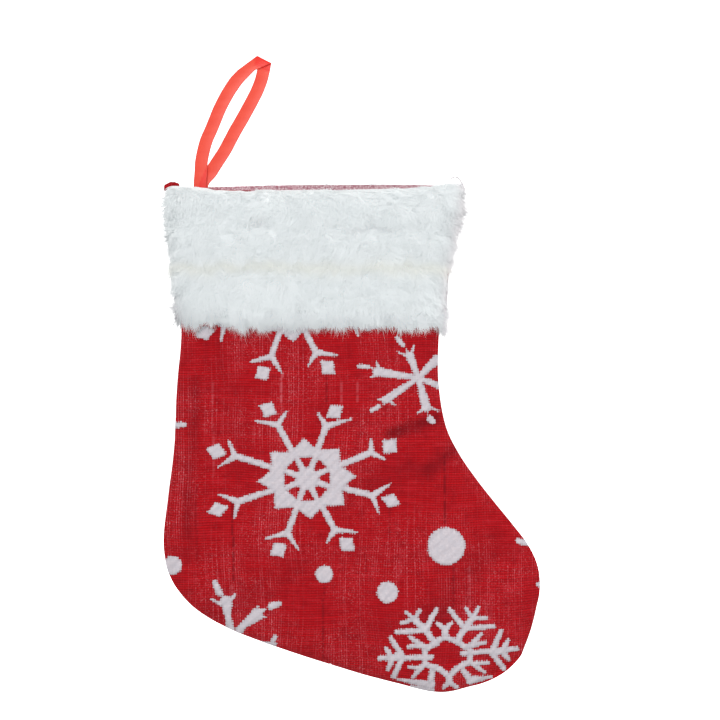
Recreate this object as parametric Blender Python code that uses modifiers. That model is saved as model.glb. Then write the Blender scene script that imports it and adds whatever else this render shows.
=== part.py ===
"""Hanging stocking: two woven cloth panels, a two-part plush cuff and a ribbon hanging loop.

Metres, +Z up, front towards -Y. The origin is the middle of the ribbon's folded top.
"""

import math

import bmesh
import bpy
from mathutils import Vector

MM = 0.001

# Driving dimensions, in millimetres.
CLOTH = 1.2  # thickness of the woven cloth
GAP = 0.3  # clearance kept between neighbouring pieces
SEAM_OFFSET = 1.5  # from the seam plane to the middle of each cloth panel at its edge
SEAM_WIDTH = 5.0  # seam allowance turned inwards all round
SEAM_START = 0.014  # where it starts below the mouth, as a share of the cloth's length
FRONT_DEPTH = 6.5  # how far the front cloth stands forward of its edge
BACK_DEPTH = 5.5  # the same for the back cloth, which is flat in the middle
BACK_FLATNESS = 1.35  # how soon the back cloth levels off behind its edge
PLUSH = 5.0  # thickness of the plush cuff
CUFF_EDGE = 0.8  # from the seam plane to each half cuff's side edge
CUFF_DROP = 0.262  # how far down the cloth the cuff hangs, as a share of its length
CUFF_RISE = 0.002  # and how far it stands above the mouth, in the same way
CUFF_SLANT = 0.045  # how much less it hangs at the heel's side
CUFF_WRAP = 0.03  # the share of its width that wraps round each side edge
CUFF_CLEARANCE = 0.2  # beyond GAP, between a half cuff and its cloth
CUFF_OVERHANG = 0.6  # how far a half cuff's inner face reaches past the cloth's side edges
BACK_CUFF_ROLL = 3.6  # how much further the back half cuff rolls out at the right
ROLL_TAPER = 0.35  # how much of that roll is lost at the cuff's foot
ROLL_START = 0.9  # the share of the width where it begins
SEAM_INSET = 0.2  # from the outline to the turned-in seam allowance
CUFF_SEAM_DROP = 0.012  # the height of the cuff's seam, as a share of the cloth's length
CUFF_SEAM_RUNS = {-1: (0.09, 0.84), 1: (0.20, 0.73)}  # its start and length, across the front and the back
CUFF_SEAM_STEPS = 24
CUFF_SEAM_INSET = 0.15  # beyond GAP, between the thread and the cloth
SIDE_SEAM_TOP = 0.01  # where the cuff's side seams start, as a share of the cloth's length
SIDE_SEAM_MARGIN = 0.04  # how much shorter than the cuff they are
SIDE_SEAM_STEPS = 6
SIDE_SEAM_REACH = 2.8  # how far outside the outline they lie
RIBBON = 1.0  # thickness of the ribbon, which lies double where it is sewn in
THREAD = 0.4  # radius of the sewing threads
FRONT_SAG = -1.6  # how far the mouth's front edge dips in its middle
BACK_SAG = 1.1  # how far the mouth's back edge stands up in its middle

# The two edges of the cloth, from the mouth to the toe: (share of the way, x, z) in millimetres.
HEEL_EDGE = [
    (0.00, -41.2, -57.6),
    (0.12, -39.0, -90.0),
    (0.25, -37.6, -126.0),
    (0.36, -39.8, -154.0),
    (0.46, -41.2, -183.0),
    (0.55, -44.0, -206.0),
    (0.63, -46.1, -229.0),
    (0.70, -41.8, -246.5),
    (0.75, -30.5, -259.6),
    (0.80, -12.5, -269.8),
    (0.85, 13.0, -279.4),
    (0.90, 43.2, -289.0),
    (0.94, 66.0, -295.2),
    (0.97, 86.5, -299.4),
    (1.00, 104.0, -296.0),
]
INSTEP_EDGE = [
    (0.00, 90.0, -56.6),
    (0.12, 88.0, -90.0),
    (0.25, 85.9, -126.0),
    (0.36, 85.6, -150.0),
    (0.46, 88.9, -171.0),
    (0.55, 95.4, -185.0),
    (0.63, 104.2, -197.8),
    (0.70, 113.0, -209.0),
    (0.75, 121.0, -218.8),
    (0.80, 128.6, -228.8),
    (0.85, 133.2, -239.0),
    (0.90, 134.2, -250.0),
    (0.94, 132.2, -260.6),
    (0.97, 129.6, -270.4),
    (1.00, 125.4, -281.6),
]
TOE_BULGE = (1.7, -1.7)  # how far the toe's end is rounded out, in millimetres

RIBBON_BASE = (-27.0, -57.8)  # where the ribbon turns in its plane
RIBBON_BEND = -50.0  # the height at which it flops forwards and backwards
BEND_GAP = 0.45  # the foot and the loop each stop this far from that height
FOOT_HALF_WIDTH = 5.4
FOOT_FLARE = 3.4  # the height over which the foot widens from its turning point
FOOT_TOP = (-32.3, -20.9)  # the foot's left and right ends where the loop bends on it
TAIL_GAP = 0.2  # between the sewn ends and the turning point
TACK_DROP = 7.0  # from the turning point down to the bar tack
TACK_HEIGHT = 2.0
TACK_INSET = 0.8  # from the ribbon's edges to the tack's ends
TAIL_DEPTH = 15.0  # how far the ribbon's ends reach down inside the mouth
RIBBON_Y = 1.6  # the ribbon's plane where it turns, just in front of the back cloth
TAIL_THICKNESS = 0.7

# The hanging ribbon as it stands: its outline above the sewn foot, and the gap between its legs.
LOOP_OUTLINE = [
    (-32.2, RIBBON_BEND + BEND_GAP), (-30.9, -44.2), (-28.5, -34.6), (-24.7, -25.0), (-20.3, -15.4),
    (-14.6, -5.8), (-10.8, -1.2), (-5.8, 3.6), (-1.4, 5.5), (5.2, 2.4), (5.1, -1.4),
    (3.6, -5.8), (-0.2, -15.4), (-5.5, -25.0), (-11.2, -34.6), (-17.0, -44.2),
    (-20.4, RIBBON_BEND + BEND_GAP),
]
LOOP_GAP = [
    (-3.0, -2.4), (-7.5, -5.8), (-11.3, -10.6), (-14.2, -15.4), (-16.6, -20.2), (-18.5, -25.0),
    (-22.8, -34.6), (-25.2, -43.2), (-20.4, -39.0), (-18.0, -34.6), (-12.3, -25.0),
    (-9.8, -20.2), (-6.9, -15.4), (-4.5, -10.6), (-2.7, -6.0),
]

JACQUARD_RED = (0.392, 0.017, 0.025)
PLUSH_WHITE = (0.745, 0.791, 0.807)
RIBBON_CORAL = (0.905, 0.095, 0.067)
THREAD_ROSE = (0.591, 0.366, 0.413)

PANEL_ROWS = 26
PANEL_COLUMNS = 16
CUFF_ROWS = 5
CUFF_COLUMNS = 18
SEAM_STEPS = 30


def clear_scene():
    for old in list(bpy.data.objects):
        bpy.data.objects.remove(old, do_unlink=True)


def make_collection(name):
    found = bpy.data.collections.get(name) or bpy.data.collections.new(name)
    if found.name not in bpy.context.scene.collection.children:
        bpy.context.scene.collection.children.link(found)
    return found


def make_material(name, colour, roughness):
    material = bpy.data.materials.new(name)
    material.use_nodes = True
    shader = material.node_tree.nodes["Principled BSDF"]
    shader.inputs["Base Color"].default_value = (*colour, 1.0)
    shader.inputs["Roughness"].default_value = roughness
    shader.inputs["Metallic"].default_value = 0.0
    material.diffuse_color = (*colour, 1.0)
    return material


def along(knots, share):
    """The point of a smooth curve through the knots, (share, value, ...), at this share of its length."""
    upper = 1
    while upper < len(knots) - 1 and knots[upper][0] < share:
        upper += 1
    before, after = knots[upper - 1], knots[upper]
    span = after[0] - before[0]
    u = (share - before[0]) / span

    def slope(index, axis):
        low = knots[max(index - 1, 0)]
        high = knots[min(index + 1, len(knots) - 1)]
        return (high[axis] - low[axis]) / (high[0] - low[0]) * span

    values = []
    for axis in range(1, len(before)):
        leave, arrive = slope(upper - 1, axis), slope(upper, axis)
        values.append(
            (2 * u**3 - 3 * u**2 + 1) * before[axis]
            + (u**3 - 2 * u**2 + u) * leave
            + (3 * u**2 - 2 * u**3) * after[axis]
            + (u**3 - u**2) * arrive
        )
    return values


def outline_point(s, t, side=0):
    """A place on the flat cloth: s runs from the mouth to the toe, t from the heel edge to the instep edge."""
    heel, instep = along(HEEL_EDGE, s), along(INSTEP_EDGE, s)
    middle = 4 * t * (1 - t)
    rounding = middle * max(0.0, (s - 0.9) / 0.1) ** 2
    sag = (0.0, BACK_SAG, FRONT_SAG)[side] * middle * max(0.0, 1 - s / 0.3)
    x = heel[0] + (instep[0] - heel[0]) * t + TOE_BULGE[0] * rounding
    z = heel[1] + (instep[1] - heel[1]) * t + TOE_BULGE[1] * rounding + sag
    return x, z


def swell(side, s, t):
    """How far the cloth stands off its edge at a place on it, in millimetres; side is -1 in front."""
    across = 1 - abs(2 * t - 1) ** 3
    towards_toe = 1 - max(0.0, (s - 0.78) / 0.22) ** 3
    if side < 0:
        return FRONT_DEPTH * across * towards_toe
    return BACK_DEPTH * min(1.0, BACK_FLATNESS * across) * towards_toe


def cloth_y(side, s, t):
    return side * (SEAM_OFFSET + swell(side, s, t))


def mapped_grid(rows, columns, place):
    """A bmesh grid whose corners are moved to place(down, across), both running from 0 to 1."""
    mesh = bmesh.new()
    bmesh.ops.create_grid(mesh, x_segments=columns, y_segments=rows, size=0.5)
    for vert in mesh.verts:
        vert.co = Vector(place(0.5 - vert.co.y, 0.5 + vert.co.x)) * MM
    return mesh


def facing(mesh, side):
    """Turns an open sheet so that it faces the front or the back."""
    mesh.normal_update()
    if sum(face.normal.y for face in mesh.faces) * side < 0:
        bmesh.ops.reverse_faces(mesh, faces=mesh.faces[:])


def add_mesh_object(name, mesh, material, collection):
    data = bpy.data.meshes.new(name)
    mesh.to_mesh(data)
    mesh.free()
    data.materials.append(material)
    made = bpy.data.objects.new(name, data)
    collection.objects.link(made)
    return made


def thicken(made, thickness, offset):
    solid = made.modifiers.new("thickness", "SOLIDIFY")
    solid.thickness = thickness * MM
    solid.offset = offset
    solid.use_even_offset = True
    solid.use_quality_normals = True
    made.data.shade_smooth()
    return made


def make_panel(name, side, material, collection):
    """One cloth panel of the stocking, from the mouth to the toe, curved like a shallow tray."""

    def place(down, across):
        x, z = outline_point(down, across, side)
        return x, cloth_y(side, down, across), z

    mesh = mapped_grid(PANEL_ROWS, PANEL_COLUMNS, place)
    facing(mesh, side)
    return thicken(add_mesh_object(name, mesh, material, collection), CLOTH, 0.0)


def edge_path():
    """The outline from the mouth's left corner round the sole and toe to its right corner."""
    steps = [SEAM_START + (1 - SEAM_START) * i / SEAM_STEPS for i in range(SEAM_STEPS + 1)]
    heel = [outline_point(s, 0.0) for s in steps]
    toe = [outline_point(1.0, t) for t in (0.25, 0.5, 0.75)]
    instep = [outline_point(s, 1.0) for s in reversed(steps)]
    return [Vector((x, 0.0, z)) for x, z in heel + toe + instep]


def make_perimeter_seam(material, collection):
    """The overlocked seam allowance inside the stocking, a flat band that follows the whole outline."""
    path = edge_path()
    last = len(path) - 1

    def place(down, across):
        index = round(down * last)
        ahead, behind = path[min(index + 1, last)], path[max(index - 1, 0)]
        run = (ahead - behind).normalized()
        inwards = Vector((-run.z, 0.0, run.x))
        return path[index] + inwards * (SEAM_INSET + (SEAM_WIDTH - SEAM_INSET) * across)

    mesh = mapped_grid(last, 1, place)
    facing(mesh, -1)
    made = add_mesh_object("perimeter_seam", mesh, material, collection)
    return thicken(made, 2 * (SEAM_OFFSET - CLOTH / 2 - GAP), 0.0)


def cuff_inner(side, down, across):
    """A place on a half cuff's inner face, which wraps round the cloth's side edges."""
    s = -CUFF_RISE + (CUFF_DROP - CUFF_SLANT * (0.5 - across) * (across < 0.5)) * down
    t = min(max((across - CUFF_WRAP) / (1 - 2 * CUFF_WRAP), 0.0), 1.0)
    x, z = outline_point(max(s, 0.0), t, side)
    clear = SEAM_OFFSET + CLOTH / 2 + GAP + CUFF_CLEARANCE
    y = side * (clear + swell(side, max(s, 0.0), t))
    roll = BACK_CUFF_ROLL * (1 - ROLL_TAPER * down) if side > 0 else 0.0
    if across < CUFF_WRAP:
        x -= CUFF_OVERHANG
        y += (side * CUFF_EDGE - y) * (1 - across / CUFF_WRAP)
    if across > 1 - CUFF_WRAP:
        x += CUFF_OVERHANG + roll
        y += (side * CUFF_EDGE - y) * (1 - (1 - across) / CUFF_WRAP)
    elif side > 0:
        x += roll * max(0.0, (t - ROLL_START) / (1 - ROLL_START))
    return x, y, z


def make_half_cuff(name, side, material, collection):
    """Half of the plush cuff, which hangs outside the cloth from the mouth's edge."""
    flat = 1 - 2 * CUFF_WRAP
    shares = [0.0, CUFF_WRAP / 2] + [CUFF_WRAP + flat * i / CUFF_COLUMNS for i in range(CUFF_COLUMNS + 1)]
    shares += [1 - CUFF_WRAP / 2, 1.0]
    last = len(shares) - 1
    mesh = mapped_grid(CUFF_ROWS, last, lambda d, a: cuff_inner(side, d, shares[round(a * last)]))
    facing(mesh, side)
    return thicken(add_mesh_object(name, mesh, material, collection), PLUSH, 1.0)


def make_thread(name, points, radius, material, collection):
    """A run of sewing thread through points given in millimetres."""
    data = bpy.data.curves.new(name, "CURVE")
    data.dimensions = "3D"
    data.bevel_depth = radius * MM
    data.bevel_resolution = 1
    data.use_fill_caps = True
    spline = data.splines.new("POLY")
    spline.points.add(len(points) - 1)
    for target, point in zip(spline.points, points):
        target.co = (*(Vector(point) * MM), 1.0)
    data.materials.append(material)
    made = bpy.data.objects.new(name, data)
    collection.objects.link(made)
    return made


def make_cuff_seam(name, side, material, collection):
    """The overlock thread that joins a half cuff to its cloth, just inside the mouth."""
    inside = SEAM_OFFSET - CLOTH / 2 - GAP - THREAD
    points = []
    start, run = CUFF_SEAM_RUNS[side]
    for i in range(CUFF_SEAM_STEPS + 1):
        t = start + run * i / CUFF_SEAM_STEPS
        x, z = outline_point(CUFF_SEAM_DROP, t, side)
        points.append((x, side * (inside - CUFF_SEAM_INSET + swell(side, CUFF_SEAM_DROP, t)), z))
    return make_thread(name, points, THREAD, material, collection)


def make_side_seam(name, across, reach, material, collection):
    """The thread that closes the two half cuffs together down one side."""
    points = []
    for i in range(SIDE_SEAM_STEPS + 1):
        s = SIDE_SEAM_TOP + (CUFF_DROP - SIDE_SEAM_MARGIN) * i / SIDE_SEAM_STEPS
        x, z = outline_point(s, across)
        points.append((x + reach, 0.0, z))
    return make_thread(name, points, THREAD, material, collection)


def make_flat(name, outlines, y, thickness, material, collection, lean_from=None):
    """A flat upright piece from closed outlines in x and z, in millimetres, centred on y.

    With lean_from it leans forwards from that height, just enough to meet the origin.
    """
    pivot = lean_from or 0.0
    lean = math.asin(y / -pivot) if pivot else 0.0
    data = bpy.data.curves.new(name, "CURVE")
    data.dimensions = "2D"
    data.fill_mode = "BOTH"
    data.extrude = thickness / 2 * MM
    for outline in outlines:
        spline = data.splines.new("POLY")
        spline.points.add(len(outline) - 1)
        for target, (x, z) in zip(spline.points, outline):
            target.co = (x * MM, (z - pivot) * MM, 0.0, 1.0)
        spline.use_cyclic_u = True
    data.materials.append(material)
    made = bpy.data.objects.new(name, data)
    made.rotation_euler = (math.pi / 2 + lean, 0.0, 0.0)
    made.location = (0.0, y * MM, pivot * MM)
    collection.objects.link(made)
    return made


def make_ribbon(material, thread, collection):
    """The ribbon: its sewn-in ends, the foot that swings on them, the loop, and the bar tack."""
    base_x, base_z = RIBBON_BASE
    half = FOOT_HALF_WIDTH
    tail = [
        (base_x - half, base_z - TAIL_DEPTH),
        (base_x + half, base_z - TAIL_DEPTH),
        (base_x + half, base_z - TAIL_GAP),
        (base_x - half, base_z - TAIL_GAP),
    ]
    tail_y = RIBBON_Y + RIBBON / 2 + GAP + TAIL_THICKNESS / 2
    make_flat("ribbon_tail", [tail], tail_y, TAIL_THICKNESS, material, collection)

    foot = [
        (base_x - half / 2, base_z),
        (base_x + half / 2, base_z),
        (base_x + half, base_z + FOOT_FLARE),
        (FOOT_TOP[1], RIBBON_BEND - BEND_GAP),
        (FOOT_TOP[0], RIBBON_BEND - BEND_GAP),
        (base_x - half, base_z + FOOT_FLARE),
    ]
    make_flat("ribbon_foot", [foot], RIBBON_Y, RIBBON, material, collection)

    loop = [LOOP_OUTLINE, LOOP_GAP]
    make_flat("ribbon_loop", loop, RIBBON_Y, RIBBON, material, collection, lean_from=RIBBON_BEND)

    tack_z = base_z - TACK_DROP
    tack = [
        (base_x - half + TACK_INSET, tack_z - TACK_HEIGHT / 2),
        (base_x + half - TACK_INSET, tack_z - TACK_HEIGHT / 2),
        (base_x + half - TACK_INSET, tack_z + TACK_HEIGHT / 2),
        (base_x - half + TACK_INSET, tack_z + TACK_HEIGHT / 2),
    ]
    tack_y = tail_y - TAIL_THICKNESS - GAP
    make_flat("ribbon_bar_tack", [tack], tack_y, TAIL_THICKNESS, thread, collection)


def main():
    clear_scene()
    parts = make_collection("hanging_stocking")
    cloth = make_material("jacquard_cloth", JACQUARD_RED, 0.85)
    plush = make_material("plush_pile", PLUSH_WHITE, 0.95)
    satin = make_material("satin_ribbon", RIBBON_CORAL, 0.4)
    thread = make_material("sewing_thread", THREAD_ROSE, 0.7)

    make_panel("front_panel", -1, cloth, parts)
    make_panel("back_panel", 1, cloth, parts)
    make_perimeter_seam(thread, parts)
    make_half_cuff("front_cuff", -1, plush, parts)
    make_half_cuff("back_cuff", 1, plush, parts)
    make_cuff_seam("front_cuff_seam", -1, thread, parts)
    make_cuff_seam("back_cuff_seam", 1, thread, parts)
    make_side_seam("left_cuff_side_seam", 0.0, -SIDE_SEAM_REACH, thread, parts)
    make_side_seam("right_cuff_side_seam", 1.0, SIDE_SEAM_REACH, thread, parts)
    make_ribbon(satin, thread, parts)


main()
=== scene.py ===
import functools
import math

import bmesh
import bpy
import numpy as np
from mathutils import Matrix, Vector


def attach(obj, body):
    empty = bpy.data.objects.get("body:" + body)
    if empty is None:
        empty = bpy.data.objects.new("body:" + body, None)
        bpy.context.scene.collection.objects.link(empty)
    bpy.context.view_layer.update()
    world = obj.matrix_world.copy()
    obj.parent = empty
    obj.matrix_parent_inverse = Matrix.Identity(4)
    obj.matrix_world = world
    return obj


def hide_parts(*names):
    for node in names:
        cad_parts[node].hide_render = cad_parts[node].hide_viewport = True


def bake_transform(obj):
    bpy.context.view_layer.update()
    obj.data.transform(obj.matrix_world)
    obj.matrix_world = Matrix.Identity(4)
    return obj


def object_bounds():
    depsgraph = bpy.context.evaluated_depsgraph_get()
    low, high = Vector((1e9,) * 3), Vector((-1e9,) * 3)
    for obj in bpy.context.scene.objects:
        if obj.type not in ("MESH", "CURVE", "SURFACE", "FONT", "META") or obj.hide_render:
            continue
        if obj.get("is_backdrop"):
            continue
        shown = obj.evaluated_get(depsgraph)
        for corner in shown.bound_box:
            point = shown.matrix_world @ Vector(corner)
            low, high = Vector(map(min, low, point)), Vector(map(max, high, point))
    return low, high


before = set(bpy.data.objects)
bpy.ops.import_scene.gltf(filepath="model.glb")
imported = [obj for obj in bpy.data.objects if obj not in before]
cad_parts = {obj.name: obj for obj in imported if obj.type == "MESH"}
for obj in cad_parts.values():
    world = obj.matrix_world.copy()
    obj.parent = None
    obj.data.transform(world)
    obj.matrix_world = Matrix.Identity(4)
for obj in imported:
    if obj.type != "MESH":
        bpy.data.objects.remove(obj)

CAD_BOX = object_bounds()

# The pieces are laid out in millimetres from the ribbon's folded top, as the solids are.
MM = 0.001

THREAD_PITCH = 1.17  # from one thread of the jacquard to the next
MESH_STEP = THREAD_PITCH / 2
SPLIT_X = 29 * THREAD_PITCH  # the front's pieces meet along this upright line

CLOTH = 1.2
SEAM_OFFSET = 1.5
FRONT_DEPTH = 6.5
BACK_DEPTH = 5.5
BACK_FLATNESS = 1.35
FRONT_SAG = -2.9
BACK_SAG = 1.5
TOE_BULGE = (1.7, -1.7)
FRONT, BACK = -1, 1
MOUTH_LEFT, MOUTH_RIGHT = -41.2, 90.0
MOUTH_WIDTH = MOUTH_RIGHT - MOUTH_LEFT
CUFF_TOP, CUFF_LOW = -57.2, -122.6
CUFF_LOW_LEFT, CUFF_LOW_RIGHT = -37.9, 85.9

# The two edges of the cloth from the mouth to the toe: (share of the way, x, z).
HEEL_EDGE = np.array([
    (0.00, MOUTH_LEFT, -57.6), (0.12, -39.0, -90.0), (0.25, -37.6, -126.0), (0.36, -39.8, -154.0),
    (0.46, -41.2, -183.0), (0.55, -44.0, -206.0), (0.63, -46.1, -229.0), (0.70, -41.8, -246.5),
    (0.75, -30.5, -259.6), (0.80, -12.5, -269.8), (0.85, 13.0, -279.4), (0.90, 43.2, -289.0),
    (0.94, 66.0, -295.2), (0.97, 86.5, -299.4), (1.00, 104.0, -296.0),
])
INSTEP_EDGE = np.array([
    (0.00, MOUTH_RIGHT, -56.6), (0.12, 88.0, -90.0), (0.25, 85.9, -126.0), (0.36, 85.6, -150.0),
    (0.46, 88.9, -171.0), (0.55, 95.4, -185.0), (0.63, 104.2, -197.8), (0.70, 113.0, -209.0),
    (0.75, 121.0, -218.8), (0.80, 128.6, -228.8), (0.85, 133.2, -239.0), (0.90, 134.2, -250.0),
    (0.94, 132.2, -260.6), (0.97, 129.6, -270.4), (1.00, 125.4, -281.6),
])

CAMERA_MIDDLE = (48.0, -140.2)
EYE_DISTANCE = 816.0


# ---------------------------------------------------------------- camera, stage and light


def make_camera():
    data = bpy.data.cameras.new("camera")
    data.lens = 85.0
    data.sensor_width = 36.0
    made = bpy.data.objects.new("camera", data)
    made.location = (CAMERA_MIDDLE[0] * MM, -EYE_DISTANCE * MM, CAMERA_MIDDLE[1] * MM)
    made.rotation_euler = (math.pi / 2, 0.0, 0.0)
    bpy.context.scene.collection.objects.link(made)
    bpy.context.scene.camera = made


def linear(colour):
    """An sRGB hex colour as linear RGBA."""
    channels = [int(colour[i:i + 2], 16) / 255 for i in (1, 3, 5)]
    return (*[c / 12.92 if c <= 0.04045 else ((c + 0.055) / 1.055) ** 2.4 for c in channels], 1.0)


def fill_inputs(node, inputs):
    """Sets a node's inputs to values, or links them to other nodes' outputs."""
    for socket, value in inputs.items():
        if isinstance(value, bpy.types.NodeSocket):
            node.id_data.links.new(value, node.inputs[socket])
        else:
            node.inputs[socket].default_value = value


def add_node(tree, kind, inputs=None, output=0, **settings):
    """Adds a shader node, sets it, fills its inputs and gives one of its outputs."""
    made = tree.nodes.new("ShaderNode" + kind)
    for name, value in settings.items():
        setattr(made, name, value)
    fill_inputs(made, inputs or {})
    return made.outputs[output]


def new_material(name, roughness, **sockets):
    """A new material with these inputs set, the function that adds nodes to it, and its main shader."""
    material = bpy.data.materials.new(name)
    material.use_nodes = True
    shader = material.node_tree.nodes["Principled BSDF"]
    fill_inputs(shader, {"Roughness": roughness})
    fill_inputs(shader, {socket.replace("_", " "): value for socket, value in sockets.items()})
    return material, functools.partial(add_node, material.node_tree), shader


def stage_piece(name, mesh, material):
    """A piece of the white surroundings: the camera sees it, and it neither lights nor shades the object."""
    data = bpy.data.meshes.new(name)
    mesh.to_mesh(data)
    mesh.free()
    data.materials.append(material)
    made = bpy.data.objects.new(name, data)
    made.visible_diffuse = False
    made.visible_glossy = False
    made.visible_transmission = False
    made.visible_shadow = False
    bpy.context.scene.collection.objects.link(made)
    made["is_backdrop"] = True
    return made


def make_stage():
    """A white floor under the hanging stocking, a white dome round it, and soft light from front and back."""
    white = linear("#ffffff")
    glow = {"Emission_Color": white, "Emission_Strength": 1.0}
    paper = new_material("seamless_paper", 1.0, Base_Color=white, **glow)[0]
    floor = bmesh.new()
    bmesh.ops.create_grid(floor, x_segments=1, y_segments=1, size=4.0)
    stage_piece("floor", floor, paper).location = (0.05, 0.0, -0.36)
    dome = bmesh.new()
    bmesh.ops.create_uvsphere(dome, u_segments=32, v_segments=16, radius=5.0)
    stage_piece("backdrop", dome, paper)

    world = bpy.data.worlds.new("studio")
    bpy.context.scene.world = world
    world.use_nodes = True
    fill_inputs(world.node_tree.nodes["Background"], {"Color": white, "Strength": 0.58})

    for name, place, size, power in (
        ("key_softbox", (-0.45, -1.2, 0.5), 0.7, 8.4),
        ("fill_softbox", (1.15, -0.85, -0.1), 0.8, 4.6),
        ("back_softbox", (0.3, 1.2, 0.4), 0.9, 8.5),
    ):
        light = bpy.data.lights.new(name, "AREA")
        light.size = size
        light.energy = power
        made = bpy.data.objects.new(name, light)
        made.location = place
        aim = Vector((0.045, 0.0, -0.15)) - Vector(place)
        made.rotation_euler = aim.to_track_quat("-Z", "Y").to_euler()
        made.visible_camera = False
        bpy.context.scene.collection.objects.link(made)

    bpy.context.scene.view_settings.view_transform = "Standard"


# ---------------------------------------------------------------- shapes in millimetres


def along(knots, share):
    """Places on the smooth curve through the knots, (share, x, z), at these shares of its length."""
    share = np.asarray(share, float)
    s = knots[:, 0]
    index = np.arange(len(s))
    low, high = np.maximum(index - 1, 0), np.minimum(index + 1, len(s) - 1)
    slopes = (knots[high, 1:] - knots[low, 1:]) / (s[high] - s[low])[:, None]
    upper = np.clip(np.searchsorted(s, share), 1, len(s) - 1)
    lower = upper - 1
    span = (s[upper] - s[lower])[..., None]
    u = (share - s[lower])[..., None] / span
    return (
        (2 * u**3 - 3 * u**2 + 1) * knots[lower, 1:]
        + (u**3 - 2 * u**2 + u) * slopes[lower] * span
        + (3 * u**2 - 2 * u**3) * knots[upper, 1:]
        + (u**3 - u**2) * slopes[upper] * span
    )


def mouth_sag(side, t):
    """How far the mouth's edge stands above its flat line; the sag reaches further at the instep's side."""
    reach = 1 - np.abs(2 * t - 1) ** np.where(t > 0.5, 4, 2)
    return (0.0, BACK_SAG, FRONT_SAG)[side] * reach


def outline_point(s, t, side=0):
    """A place on the flat cloth, as x and z: s runs from mouth to toe, t from the heel to the instep edge."""
    s, t = np.broadcast_arrays(np.asarray(s, float), np.asarray(t, float))
    heel, instep = along(HEEL_EDGE, s), along(INSTEP_EDGE, s)
    middle = 4 * t * (1 - t)
    rounding = middle * np.maximum(0.0, (s - 0.9) / 0.1) ** 2
    sag = mouth_sag(side, t) * np.maximum(0.0, 1 - s / 0.3)
    x = heel[..., 0] + (instep[..., 0] - heel[..., 0]) * t + TOE_BULGE[0] * rounding
    z = heel[..., 1] + (instep[..., 1] - heel[..., 1]) * t + TOE_BULGE[1] * rounding + sag
    return x, z


def shares_at(x, z):
    """The (s, t) of places on the cloth: s by halving, on the line between the two edges, then t along it."""
    low, high = np.full(x.shape, -0.02), np.full(x.shape, 1.0)
    for _ in range(18):
        middle = (low + high) / 2
        heel, instep = along(HEEL_EDGE, middle), along(INSTEP_EDGE, middle)
        run_x, run_z = instep[..., 0] - heel[..., 0], instep[..., 1] - heel[..., 1]
        below = run_x * (z - heel[..., 1]) - run_z * (x - heel[..., 0]) < 0
        low, high = np.where(below, middle, low), np.where(below, high, middle)
    t = ((x - heel[..., 0]) * run_x + (z - heel[..., 1]) * run_z) / (run_x**2 + run_z**2)
    return np.clip(middle, 0.0, 1.0), np.clip(t, 0.0, 1.0)


def swell(side, s, t):
    """How far the cloth stands off its edge."""
    across = 1 - np.abs(2 * t - 1) ** 3
    towards_toe = 1 - np.maximum(0.0, (s - 0.78) / 0.22) ** 3
    if side == FRONT:
        return FRONT_DEPTH * across * towards_toe
    return BACK_DEPTH * np.minimum(1.0, BACK_FLATNESS * across) * towards_toe


def soft_noise(x, z, size, seed):
    """Smooth random hills from about -1 to 1, this many millimetres apart."""
    random = np.random.default_rng(seed).uniform(-1, 1, (256, 256))
    u, v = x / size + 100.0, z / size + 100.0
    i, j = np.floor(u).astype(int), np.floor(v).astype(int)
    fu, fv = u - i, v - j
    fu, fv = fu * fu * (3 - 2 * fu), fv * fv * (3 - 2 * fv)
    corner = lambda a, b: random[(i + a) % 256, (j + b) % 256]
    return (
        (corner(0, 0) * (1 - fu) + corner(1, 0) * fu) * (1 - fv)
        + (corner(0, 1) * (1 - fu) + corner(1, 1) * fu) * fv
    )


def smooth_step(value, low, high):
    share = np.clip((value - low) / (high - low), 0.0, 1.0)
    return share * share * (3 - 2 * share)


def coordinates(data):
    points = np.empty(len(data.vertices) * 3)
    data.vertices.foreach_get("co", points)
    return points.reshape(-1, 3)


def set_coordinates(data, points):
    data.vertices.foreach_set("co", np.asarray(points, np.float32).ravel())
    data.update()


def set_attribute(data, name, values):
    attribute = data.attributes.new(name, "FLOAT", "POINT")
    attribute.data.foreach_set("value", np.asarray(values, np.float32))


def link_mesh(name, data, *materials):
    for material in materials:
        data.materials.append(material)
    made = bpy.data.objects.new(name, data)
    bpy.context.scene.collection.objects.link(made)
    return made


def mapped_grid(name, columns, rows, place):
    """A grid mesh whose corners go to place(across, down), both from 0 to 1."""
    mesh = bmesh.new()
    bmesh.ops.create_grid(mesh, x_segments=columns, y_segments=rows, size=0.5)
    data = bpy.data.meshes.new(name)
    mesh.to_mesh(data)
    mesh.free()
    points = coordinates(data)
    across, down = points[:, 0] + 0.5, 0.5 - points[:, 1]
    set_coordinates(data, np.column_stack(place(across, down)) * MM)
    return data


def face_side(data, side):
    """Turns an open sheet so that it faces the front or the back."""
    if sum(face.normal.y for face in data.polygons) * side < 0:
        data.flip_normals()


def evaluated_mesh(made):
    depsgraph = bpy.context.evaluated_depsgraph_get()
    return bpy.data.meshes.new_from_object(made.evaluated_get(depsgraph))


def thicken(made, thickness, offset, inner=0):
    """Gives an open sheet its thickness; the new inner skin takes the material that many slots on."""
    solid = made.modifiers.new("thickness", "SOLIDIFY")
    solid.thickness = thickness * MM
    solid.offset = offset
    solid.use_even_offset = False
    solid.material_offset = inner
    solid.material_offset_rim = 0
    made.data.shade_smooth()
    old, made.data = made.data, evaluated_mesh(made)
    made.modifiers.clear()
    bpy.data.meshes.remove(old)
    made.data.set_sharp_from_angle(angle=math.radians(75))
    return made


# ---------------------------------------------------------------- the woven pattern


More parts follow.
